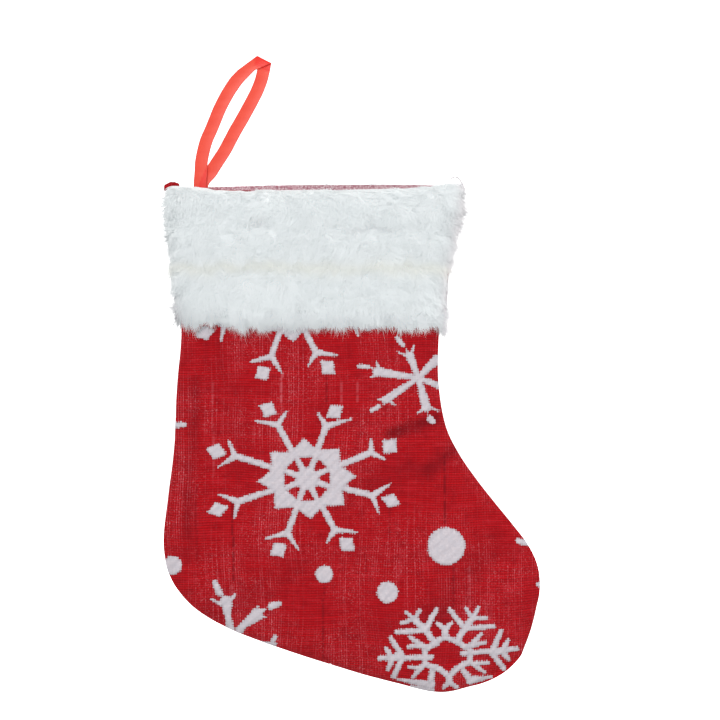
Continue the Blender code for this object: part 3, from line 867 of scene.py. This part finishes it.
def satin_ribbon():
    """Polyester satin ribbon: a smooth coral face with a soft shine, cross threads and firmer selvedges."""
    material, add, shader = new_material(
        "polyester_satin", 0.36, Sheen_Weight=0.2, Sheen_Roughness=0.3, Specular_IOR_Level=0.35,
    )
    chart = add("UVMap", uv_map="ribbon")
    across, down = add("SeparateXYZ", {0: chart}, "X"), add("SeparateXYZ", {0: chart}, "Y")
    doubled, = attributes(add, "doubled")
    # Satin threads are under 0.1 mm apart; they are drawn 0.5 mm apart so that they show.
    line = add("Math", {0: down, 1: 2.0}, operation="MULTIPLY")
    line = add("Math", {0: line, 1: 0.5}, operation="PINGPONG")
    edge = add("Math", {0: add("Math", {0: across, 1: 0.5}, operation="SUBTRACT")}, operation="ABSOLUTE")
    selvedge = add("MapRange", {"Value": edge, "From Min": 0.42, "From Max": 0.5})
    coral = tinted(add, linear("#ec4331"), (
        (add("TexNoise", {"Vector": chart, "Scale": 0.22, "Detail": 2.0}), 1.0, "#fa5b47"),
        (line, 0.25, "#fb6a56"),
        (selvedge, 0.45, "#c23a35"),
        (doubled, 0.8, "#f0261c"),
    ))
    finish_material(add, shader, coral, line, 0.25, 0.05)
    return material


def sewing_thread(name, dark, light):
    """Spun polyester sewing thread: matt, with a fine twist that is drawn 0.6 mm long."""
    material, add, shader = new_material(name, 0.7, Sheen_Weight=0.2)
    twist = add("TexWave", {
        "Vector": add("TexCoord", output="Object"), "Scale": 2 * math.pi / (20 * 0.6 * MM), "Distortion": 1.0,
    }, "Fac", bands_direction="DIAGONAL")
    colour = tinted(add, linear(dark), ((twist, 1.0, light),))
    finish_material(add, shader, colour, twist, 0.4, 0.1)
    return material


# ---------------------------------------------------------------- the plush cuff

PLUSH_DEPTH = 4.0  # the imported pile's own thickness on the cloth
GROUND_THICKNESS = 0.8
CUFF_HALF_WIDTH, CUFF_HALF_DEPTH = 66, 12
CUFF_REACH = {FRONT: (2.6, 6.2), BACK: (2.4, 6.6)}  # how far each half stands past the cloth's two side edges
SEAM_GAP = 0.15  # from the seam's middle plane to each half's side edge
SECTION_POWER = 3.2
DENTS = ((0.0, -75.5, 8.0), (52.0, -77.5, 12.0))  # their middles and half lengths


def section_table():
    """The cuff's half section, by share of its length: across from -1 to 1 and height from 0 to 1."""
    across = np.sin(np.linspace(-math.pi / 2, math.pi / 2, 2001))
    height = np.sqrt(np.maximum(0.0, 1 - np.abs(across) ** SECTION_POWER))
    steps = np.hypot(np.diff(across) * CUFF_HALF_WIDTH, np.diff(height) * CUFF_HALF_DEPTH)
    share = np.concatenate([[0], np.cumsum(steps)])
    return share / share[-1], across, height


SECTION = section_table()


def dents(x, z, height):
    """How near each place is to one of the front's two long dents, from 0 to 1."""
    near = np.zeros_like(x)
    for dent_x, dent_z, length in DENTS:
        near += np.exp(-(((x - dent_x) / length) ** 2) - ((z - dent_z) / height) ** 2)
    return near


def cuff_place(side, across, down):
    """Places on the cuff's packed pile: across from the left seam to the right one, down from the mouth."""
    unit = np.interp(across, SECTION[0], SECTION[1])
    height = np.interp(across, SECTION[0], SECTION[2])
    left, right = CUFF_REACH[side]
    top_left, top_right = MOUTH_LEFT - left, MOUTH_RIGHT + right
    low_left, low_right = CUFF_LOW_LEFT - left * 0.6, CUFF_LOW_RIGHT + right * 0.3
    x_left = top_left + (low_left - top_left) * smooth_step(down, 0.1, 1.0)
    x_right = top_right + (low_right - top_right) * smooth_step(down, 0.05, 0.8)
    x = (x_left + x_right) / 2 + (x_right - x_left) / 2 * unit
    t = np.clip((x - MOUTH_LEFT) / MOUTH_WIDTH, 0, 1)
    sag = mouth_sag(side, t)
    # The pile hides the cloth's edge, but for a fine line of it beside the ribbon.
    bared = 0.9 * smooth_step(x, -26.0, -20.0) * smooth_step(-x, -4.0, 6.0)
    bared = bared + 0.25 * soft_noise(x, 0 * x, 3.0, 47)
    top = CUFF_TOP + t + sag - bared
    bottom = CUFF_LOW + 4.6 * np.clip((-8 - x) / 34, 0, 1) ** 1.5 + 0.6 * soft_noise(x, 0 * x, 14, 41)
    z = top + (bottom - top) * down
    round_off = np.clip(1 - np.abs(2 * down - 1) ** 7, 0.04, 1) ** 0.5
    depth = SEAM_OFFSET + CLOTH / 2 + 0.6 + (FRONT_DEPTH if side == FRONT else BACK_DEPTH)
    puffs = 0.7 * soft_noise(x, z, 17, 43 + side) + 0.4 * soft_noise(x, z, 7, 45 + side)
    if side == FRONT:
        puffs = puffs - 1.7 * dents(x, z, 3.5)
    y = side * (SEAM_GAP + (depth - SEAM_GAP) * height + (PLUSH_DEPTH + puffs) * round_off * height**0.5)
    return x, y, z


def cuff_ground(name, side, start, end, material):
    columns = max(8, round((end - start) * 110))

    def place(across, down):
        return cuff_place(side, start + (end - start) * across, down)

    data = mapped_grid(name, columns, 56, place)
    face_side(data, side)
    made = link_mesh(name, data, material)
    return thicken(made, GROUND_THICKNESS, -1.0)


PILE_LENGTH, FRINGE_LENGTH = (2.6, 4.4), (1.6, 3.8)
FIBRE_RADIUS = (0.13, 0.24)
PILE_ROUNDNESS, FRINGE_ROUNDNESS = 0.5, 1.1
CREAM_HEIGHT, CREAM_REACH = -96.0, 2.6  # the cream band round the cuff


def fibre_template():
    """One pile fibre: a closed three-sided spike, bent once, 1 high. Gives its corners and its triangles."""
    mesh = bmesh.new()
    bmesh.ops.create_cone(mesh, cap_ends=True, segments=3, radius1=1.0, radius2=0.0, depth=1.0)
    everything = mesh.verts[:] + mesh.edges[:] + mesh.faces[:]
    bmesh.ops.bisect_plane(mesh, geom=everything, plane_co=(0, 0, 0.05), plane_no=(0, 0, 1))
    bmesh.ops.triangulate(mesh, faces=mesh.faces[:])
    mesh.verts.index_update()
    corners = np.array([vert.co[:] for vert in mesh.verts])
    corners[:, 2] += 0.5
    triangles = np.array([[vert.index for vert in face.verts] for face in mesh.faces])
    mesh.free()
    return corners, triangles


def unit(vectors):
    return vectors / np.maximum(np.linalg.norm(vectors, axis=1, keepdims=True), 1e-9)


def fibre_mesh(name, roots, aims, curls, lengths, radii, outwards, fields, material):
    """Many fibres as one mesh. Each starts at its root, aims one way and curls another as it rises.

    They are shaded mostly as the cuff's own surface, since light soaks through white pile.
    """
    corners, triangles = fibre_template()
    count, size = len(roots), len(corners)
    beside = unit(np.cross(aims, np.array([0.31, 0.77, 0.55])))
    other = np.cross(aims, beside)
    height = corners[:, 2]
    full = 0.85 + 0.15 * (1 - height)
    points = (
        roots[:, None]
        + aims[:, None] * height[None, :, None] * lengths[:, None, None]
        + curls[:, None] * (height**2)[None, :, None] * lengths[:, None, None]
        + beside[:, None] * (corners[:, 0] * full)[None, :, None] * radii[:, None, None]
        + other[:, None] * (corners[:, 1] * full)[None, :, None] * radii[:, None, None]
    ).reshape(-1, 3)
    faces = (triangles[None] + (np.arange(count) * size)[:, None, None]).reshape(-1)
    data = bpy.data.meshes.new(name)
    data.vertices.add(count * size)
    data.loops.add(len(faces))
    data.polygons.add(len(faces) // 3)
    data.vertices.foreach_set("co", (points * MM).astype(np.float32).ravel())
    data.loops.foreach_set("vertex_index", faces.astype(np.int32))
    data.polygons.foreach_set("loop_start", np.arange(0, len(faces), 3, dtype=np.int32))
    data.update(calc_edges=True)
    data.shade_smooth()
    round_it = beside[:, None] * corners[None, :, 0:1] + other[:, None] * corners[None, :, 1:2]
    shading = unit((outwards[:, None] + fields["round"][:, None, None] * round_it).reshape(-1, 3))
    data.normals_split_custom_set_from_vertices(shading)
    set_attribute(data, "reach", np.tile(height, count))
    for field, values in fields.items():
        set_attribute(data, field, np.repeat(values, size))
    return link_mesh(name, data, material)


def cuff_fibres(side, count, fringe_count, seed):
    """Roots, directions and sizes of one half cuff's pile and of the longer locks along its lower edge."""
    random = np.random.default_rng(seed)
    across = np.concatenate([random.uniform(0, 1, count), random.uniform(0.004, 0.996, fringe_count)])
    down = np.concatenate([random.uniform(0.0, 1.0, count), random.uniform(0.92, 1.0, fringe_count)])
    fringe = np.arange(len(across)) >= count
    place = lambda a, d: np.column_stack(cuff_place(side, a, d))
    roots = place(across, down)
    step = 0.004
    over = place(np.clip(across + step, 0, 1), down) - place(np.clip(across - step, 0, 1), down)
    drop = place(across, np.clip(down + step, 0, 1)) - place(across, np.clip(down - step, 0, 1))
    normals = unit(np.cross(over, drop))
    normals *= np.sign(normals[:, 1:2] * side + 1e-9)
    x, z = roots[:, 0], roots[:, 2]
    swirl, locks = [
        np.column_stack([soft_noise(x, z, size, own_seed), 0 * x, soft_noise(x, z, size, own_seed + 1)])
        for size, own_seed in ((9, seed + 1), (3.2, seed + 3))
    ]
    loose = random.normal(0, 1, (len(x), 3))
    downwards = np.array([0.0, 0.0, -1.0])
    lower = smooth_step(down, 0.8, 1.0)[:, None]
    aims = normals * (0.75 - 0.35 * lower) + downwards * (0.30 + 0.8 * lower)
    aims = unit(aims + 0.35 * swirl + 0.45 * locks + 0.28 * loose)
    seam_side = np.exp(-((np.minimum(across, 1 - across) / 0.02) ** 2))
    aims[:, 1] -= 0.5 * side * seam_side
    top = smooth_step(down, 0.06, 0.0)
    stray = 0.45 * np.abs(random.normal(0, 1, len(x))) * smooth_step(x, -6.0, 4.0)
    aims[:, 2] = np.where(down < 0.03, stray, np.where(down < 0.07, 0.1, aims[:, 2]))
    aims = unit(aims)
    curls = 0.35 * downwards + 0.3 * swirl + 0.35 * locks + 0.2 * random.normal(0, 1, (len(x), 3))
    lengths = random.uniform(*PILE_LENGTH, len(x)) * (1 + 0.2 * soft_noise(x, z, 5, seed + 5))
    fringe_lengths = random.uniform(*FRINGE_LENGTH, len(x)) * (1 + 0.45 * soft_noise(x, z, 3.0, seed + 6))
    lengths = np.where(fringe, fringe_lengths, lengths)
    lengths *= 1 - 0.35 * top
    # At its two ends the pile stands out sideways and hides where the halves meet.
    ends = np.exp(-((np.minimum(across, 1 - across) / 0.03) ** 2))
    lengths *= 1 + 0.3 * ends * smooth_step(down, 0.05, 0.15)
    fringe_curls = curls * 0.4 + 1.2 * locks + 0.4 * random.normal(0, 1, (len(x), 3))
    curls = np.where(fringe[:, None], fringe_curls, curls)
    radii = random.uniform(*FIBRE_RADIUS, len(x))
    above_cream = z - CREAM_HEIGHT + 0.6 * soft_noise(x, z, 20, 77)
    cream = np.exp(-((above_cream / CREAM_REACH) ** 2)) * (side == FRONT)
    roundness = np.where(fringe, FRINGE_ROUNDNESS, PILE_ROUNDNESS)
    # The fringe's locks take a lower tone, partly at random and partly as painted shade where they hang below
    # the pile.
    tone = np.where(fringe, random.uniform(-0.3, 0.9, len(x)).clip(0, 1), random.uniform(0.8, 1.0, len(x)))
    # Painted shade darkens the front's pile along its two dents.
    if side == FRONT:
        tone = tone * (1 - 0.9 * dents(x, z + 0.5 * soft_noise(x, z, 5.0, 79), 0.9))
    right_seam = np.exp(-(((1 - across) / 0.03) ** 2))
    low_left = np.exp(-((across / 0.03) ** 2)) * smooth_step(down, 0.7, 0.95)
    blush = (right_seam + 0.7 * low_left) * random.uniform(0.2, 1.0, len(x))
    fields = {"tone": tone, "blush": blush, "cream": cream, "round": roundness}
    return roots - 0.4 * normals, aims, curls, lengths, radii, normals, fields


def make_cuff():
    ground, fibre = plush_ground(), plush_fibre()
    shares = np.linspace(0, 1, 401)
    split = float(np.interp(SPLIT_X, cuff_place(FRONT, shares, np.full(401, 0.5))[0], shares))
    for name, side, start, end, follow in (
        ("front_cuff_ground_left", FRONT, 0.0, split, open_left),
        ("front_cuff_ground_right", FRONT, split, 1.0, open_right),
        ("back_cuff_ground", BACK, 0.0, 1.0, None),
    ):
        made = cuff_ground(name, side, start, end, ground)
        if follow:
            follow(made)
        else:
            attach(made, "stocking")
        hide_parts("front_cuff" if side == FRONT else "back_cuff")

    for label, side, count, fringe_count, seed, limits in (
        ("front", FRONT, 52000, 16000, 101, (-999.0, -14.0, 10.0, SPLIT_X, 62.0, 999.0)),
        ("back", BACK, 38000, 7000, 201, (-999.0, 8.0, 50.0, 999.0)),
    ):
        *fibres, fields = cuff_fibres(side, count, fringe_count, seed)
        across = fibres[0][:, 0]
        for index, (low, high) in enumerate(zip(limits, limits[1:])):
            picked = (across >= low) & (across < high)
            picked_fields = {key: values[picked] for key, values in fields.items()}
            picked_fibres = [values[picked] for values in fibres]
            made = fibre_mesh(f"{label}_cuff_pile_{index + 1}", *picked_fibres, picked_fields, fibre)
            if side == BACK:
                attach(made, "stocking")
            elif high <= SPLIT_X:
                open_left(made)
            else:
                open_right(made)
            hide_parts(f"{label}_cuff")


# ---------------------------------------------------------------- the ribbon

RIBBON_WIDTH = 6.1
RIBBON_CLOTH = 0.3
RIBBON_PLANE = 1.6
LEG_DEPTH = 0.35  # how far each leg stands off the ribbon's plane
RIBBON_BEND = -50.0
RIBBON_ENDS, RIBBON_TOP = -72.0, -1.2
# The middle of each leg of the ribbon, from its sewn end up to the fold: (x, z).
LEFT_LEG = [(-28.6, -72.0), (-28.8, -64.0), (-28.9, -55.7), (-28.5, -50.0), (-28.2, -45.0), (-27.1, -39.4),
            (-25.7, -34.6), (-23.6, -29.8), (-21.6, -25.0), (-19.6, -20.2), (-17.2, -15.4), (-14.4, -10.6),
            (-10.8, -5.6), (-6.6, -1.2)]
RIGHT_LEG = [(-28.2, -72.0), (-28.2, -64.0), (-27.9, -55.7), (-23.9, -50.0), (-20.6, -45.0), (-17.0, -39.4),
             (-14.4, -34.6), (-11.8, -29.8), (-9.0, -25.0), (-6.3, -20.2), (-3.7, -15.4), (-1.3, -10.6),
             (0.6, -5.6), (1.7, -1.2)]
FOLD_LEFT, FOLD_RIGHT = (-1.4, 5.7), (5.4, 2.2)


def leg_rows(leg, low, high, steps):
    """Cross lines of one leg between two heights: each as its two ends, (x, z), and its height."""
    points = np.array(leg)
    knots = np.column_stack([-points[:, 1], points])
    order = np.argsort(knots[:, 0])
    knots = knots[order]
    heights = np.linspace(low, high, steps)
    middle = along(knots, -heights)
    ahead = along(knots, -heights + 0.2) - along(knots, -heights - 0.2)
    lean = np.hypot(ahead[:, 0], ahead[:, 1]) / np.abs(ahead[:, 1])
    half = RIBBON_WIDTH / 2 * np.minimum(lean, 1.35)
    return np.column_stack([middle[:, 0] - half, heights, middle[:, 0] + half, heights])


def ribbon_plane(z):
    """How far back the ribbon lies: upright in the mouth, then leaning forwards to the fold at the origin."""
    return RIBBON_PLANE * np.clip(-z / -RIBBON_BEND, 0, 1)


def ribbon_strip(name, rows, depths, material):
    """A ribbon through cross lines, with its own map: across from 0 to 1 and along in millimetres."""
    columns, last = 8, len(rows) - 1
    lengths = np.concatenate([[0], np.cumsum(np.hypot(*np.diff((rows[:, :2] + rows[:, 2:]) / 2, axis=0).T))])

    def place(across, down):
        index = np.round(down * last).astype(int)
        row = rows[index]
        x = row[:, 0] + (row[:, 2] - row[:, 0]) * across
        z = row[:, 1] + (row[:, 3] - row[:, 1]) * across
        cup = 0.25 * (2 * np.abs(across - 0.5)) ** 2
        return x, ribbon_plane(z) + depths[index] - cup, z

    data = mapped_grid(name, columns, last, place)
    chart = [(i / columns, lengths[last - j]) for j in range(last + 1) for i in range(columns + 1)]
    layer = data.uv_layers.new(name="ribbon")
    loops = np.empty(len(data.loops), np.int32)
    data.loops.foreach_get("vertex_index", loops)
    layer.data.foreach_set("uv", np.array(chart)[loops].astype(np.float32).ravel())
    points = coordinates(data) / MM
    set_attribute(data, "doubled", under_other_leg(points[:, 0], points[:, 2]))
    face_side(data, FRONT)
    made = link_mesh(name, data, material)
    return thicken(made, RIBBON_CLOTH, 0.0)


def under_other_leg(x, z):
    """Where both legs lie over each other, at the foot and at the fold, the ribbon looks a deeper red."""
    left = np.interp(z, [-72, -55.7, -50, -45, -39.4], [-25.5, -25.8, -25.4, -25.1, -24.0])
    right = np.interp(z, [-72, -55.7, -50, -45, -39.4], [-30.7, -29.6, -27.0, -24.0, -20.6])
    foot = smooth_step(x, right - 0.3, right + 0.3) * smooth_step(-x, -left - 0.3, -left + 0.3) * (z < -40)
    fold = (z > -2.5) * smooth_step(x, -3.2, -2.0) * smooth_step(z + 0.45 * x, -0.6, 0.6) * (z > -3)
    return np.clip(foot + fold, 0, 1)


def make_ribbon():
    satin = satin_ribbon()
    foot_steps, leg_steps, turn_steps = 26, 58, 10
    for leg, depth, label in ((LEFT_LEG, -LEG_DEPTH, "left"), (RIGHT_LEG, LEG_DEPTH, "right")):
        rows = leg_rows(leg, RIBBON_ENDS, RIBBON_BEND, foot_steps)
        made = ribbon_strip(f"ribbon_end_{label}", rows, np.full(len(rows), depth), satin)
        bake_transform(made)
        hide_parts("ribbon_tail", "ribbon_foot")

    up = leg_rows(LEFT_LEG, RIBBON_BEND, RIBBON_TOP, leg_steps)
    down = leg_rows(RIGHT_LEG, RIBBON_TOP, RIBBON_BEND, leg_steps)
    fold = np.array([*FOLD_LEFT, *FOLD_RIGHT])
    ease = smooth_step(np.linspace(0, 1, turn_steps + 1)[1:-1, None], 0, 1)
    into = up[-1] + (fold - up[-1]) * ease
    out = fold + (down[0] - fold) * ease
    rows = np.concatenate([up, into, fold[None], out, down])
    past_fold = np.arange(len(rows)) - len(up) - len(into)
    depths = LEG_DEPTH * np.tanh(past_fold / 2.0)
    made = ribbon_strip("ribbon_loop_satin", rows, depths, satin)
    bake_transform(made)
    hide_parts("ribbon_loop")


# ---------------------------------------------------------------- seams and threads

OVERLOCK_WIDTH, OVERLOCK_PITCH = 3.4, 2.4
THREAD_RADIUS = 0.3
TAIL_RADIUS = 0.28
TAB_LEFT, TAB_LENGTH, TAB_RADIUS = -46.0, 7.2, 1.75


def thread_curve(name, points, radius, material, sides=2):
    data = bpy.data.curves.new(name, "CURVE")
    data.dimensions = "3D"
    data.bevel_depth = radius * MM
    data.bevel_resolution = sides
    data.use_fill_caps = True
    spline = data.splines.new("POLY")
    spline.points.add(len(points) - 1)
    flat = np.column_stack([np.asarray(points) * MM, np.ones(len(points))])
    spline.points.foreach_set("co", flat.astype(np.float32).ravel())
    curve = bpy.data.objects.new(name + "_curve", data)
    bpy.context.scene.collection.objects.link(curve)
    mesh = evaluated_mesh(curve)
    bpy.data.objects.remove(curve)
    mesh.materials.clear()
    mesh.shade_smooth()
    return link_mesh(name, mesh, material)


def overlock(path, inwards, width, pitch):
    """The zigzag of an overlock thread along a path, from its edge inwards and back."""
    steps = np.concatenate([[0], np.cumsum(np.linalg.norm(np.diff(path, axis=0), axis=1))])
    count = int(steps[-1] / pitch) * 4
    at = np.linspace(0, steps[-1], count + 1)
    places = np.column_stack([np.interp(at, steps, path[:, i]) for i in range(3)])
    inside = np.column_stack([np.interp(at, steps, inwards[:, i]) for i in range(3)])
    phase = np.arange(count + 1) % 4
    reach = np.array([0.0, 0.55, 1.0, 0.55])[phase] * width
    lift = np.array([0.0, 0.35, 0.0, -0.35])[phase]
    places[:, 1] += lift
    return places + inside * reach[:, None]


def mouth_overlock(name, side, low, high, material):
    """The overlock that joins one half cuff to its panel, as one zigzag thread along the mouth's edge."""
    t = np.linspace(low, high, 60)
    x, z = outline_point(0.0, t, side)
    stands = side * (SEAM_OFFSET - 0.2 + swell(side, 0.0, t))
    path = np.column_stack([x, stands, z - 0.4])
    down = np.tile([0.0, 0.0, -1.0], (len(path), 1))
    zigzag = overlock(path, down, OVERLOCK_WIDTH, OVERLOCK_PITCH)
    made = thread_curve(name, zigzag, THREAD_RADIUS, material, sides=1)
    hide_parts("front_cuff_seam" if side == FRONT else "back_cuff_seam")
    return made


def no_motif(data):
    """Marks a mesh as lying outside the woven motifs, so that its cloth is red all over."""
    set_attribute(data, "motif", np.full(len(data.vertices), 3.0))


def make_seams():
    rose = sewing_thread("spun_polyester_thread_rose", "#c58e98", "#ecd3d6")
    grey = sewing_thread("spun_polyester_thread_white", "#b9b4b8", "#e6e1e4")
    split = (SPLIT_X - MOUTH_LEFT) / MOUTH_WIDTH
    open_left(mouth_overlock("front_cuff_overlock_left", FRONT, 0.02, split, rose))
    open_right(mouth_overlock("front_cuff_overlock_right", FRONT, split, 0.98, rose))
    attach(mouth_overlock("back_cuff_overlock", BACK, 0.02, 0.98, rose), "stocking")
    for node, material in (
        ("left_cuff_side_seam", grey), ("right_cuff_side_seam", grey), ("ribbon_bar_tack", rose),
        ("perimeter_seam", bpy.data.materials["woven_polyester_jacquard"]),
    ):
        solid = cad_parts[node].data
        solid.materials.clear()
        solid.materials.append(material)
    no_motif(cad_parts["perimeter_seam"].data)
    return grey


def make_corner_tab(material):
    """The rolled end of the red cloth that shows at the mouth's left corner."""
    turns, steps = 30, 16

    def place(across, down):
        angle = across * 2 * math.pi
        radius = TAB_RADIUS * (1 - 0.22 * np.abs(2 * down - 1) ** 3)
        radius = radius * (1 + 0.10 * soft_noise(down * 40, angle * 3, 4, 61))
        x = TAB_LEFT + TAB_LENGTH * down
        z = -57.6 + 0.9 * np.sin(down * math.pi) + 0.6 * down + radius * np.sin(angle)
        return x, 0.6 + radius * np.cos(angle), z

    data = mapped_grid("corner_tab", turns, steps, place)
    no_motif(data)
    made = link_mesh("corner_tab", data, material)
    mesh = bmesh.new()
    mesh.from_mesh(data)
    bmesh.ops.remove_doubles(mesh, verts=mesh.verts[:], dist=0.00002)
    bmesh.ops.holes_fill(mesh, edges=mesh.edges[:], sides=0)
    bmesh.ops.recalc_face_normals(mesh, faces=mesh.faces[:])
    mesh.to_mesh(data)
    mesh.free()
    data.shade_smooth()
    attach(made, "stocking")


def make_stray_thread(material):
    """The overlock's loose tail at the mouth's right corner."""
    share = np.linspace(0, 1, 24)
    path = np.column_stack([
        91.5 + 6.6 * share, -4.0 + 2.0 * share, -53.6 + 1.6 * np.sin(3 * share) - 5.0 * share**2.2,
    ])
    made = thread_curve("overlock_tail", path, TAIL_RADIUS, material)
    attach(made, "stocking")


def main():
    make_camera()
    make_stage()
    make_cloth()
    make_cuff()
    make_ribbon()
    make_corner_tab(bpy.data.materials["woven_polyester_jacquard"])
    make_stray_thread(make_seams())


main()

boxes = {"cad": CAD_BOX, "visual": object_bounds()}
{name: [list(corner) for corner in box] for name, box in boxes.items()}
